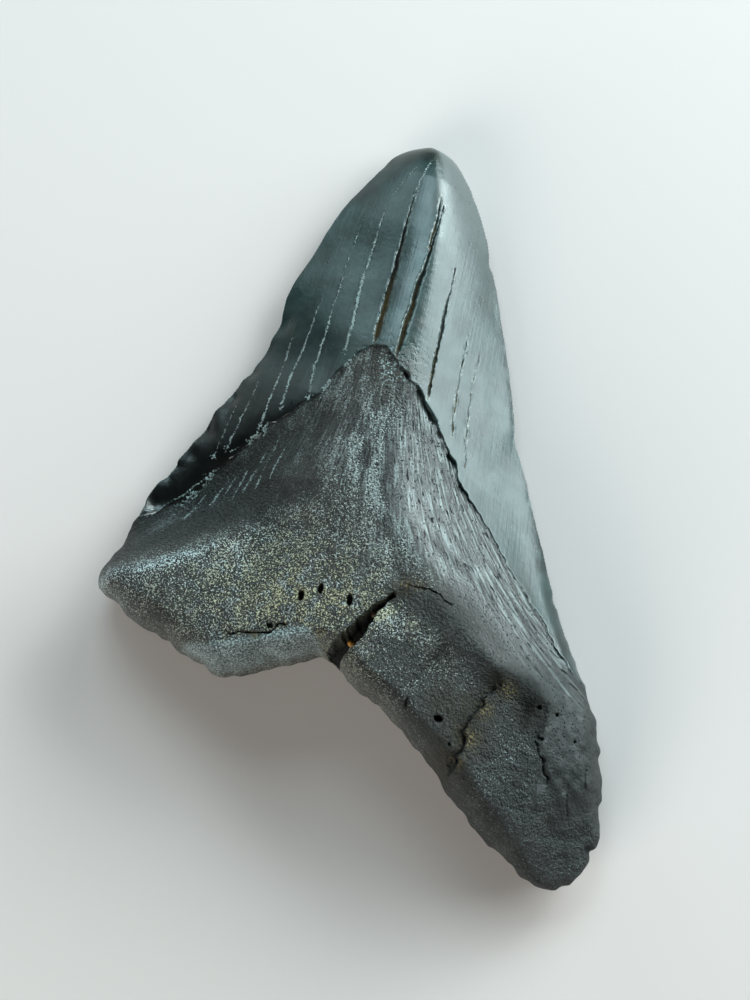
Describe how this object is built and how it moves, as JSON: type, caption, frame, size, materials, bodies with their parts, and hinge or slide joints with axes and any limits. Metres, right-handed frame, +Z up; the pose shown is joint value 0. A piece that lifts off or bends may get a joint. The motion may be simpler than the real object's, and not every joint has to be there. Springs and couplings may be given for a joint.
{
  "type": "megalodon tooth",
  "caption": "Large fossil shark tooth: domed triangular crown, chevron neck and thick two-lobed root with a deep cleft, lying on its flat face.",
  "frame": {"origin": "centre of the bounding box, at the height of the flat lip-side face the tooth lies on", "axes": "+Y along the crown from the root notch to the tip, +Z up out of the domed tongue-side face, +X towards the longer root lobe"},
  "size_m": [0.0916, 0.1256, 0.0251],
  "materials": {
    "fossil_tooth": "polished crown, grainy satin root",
    "amber_sand": "satin",
    "brown_sand": "satin"
  },
  "bodies": {
    "root": {"tooth": "fossil_tooth", "lower_sand_grain": "amber_sand", "upper_sand_grain": "brown_sand"}
  },
  "joints": []
}
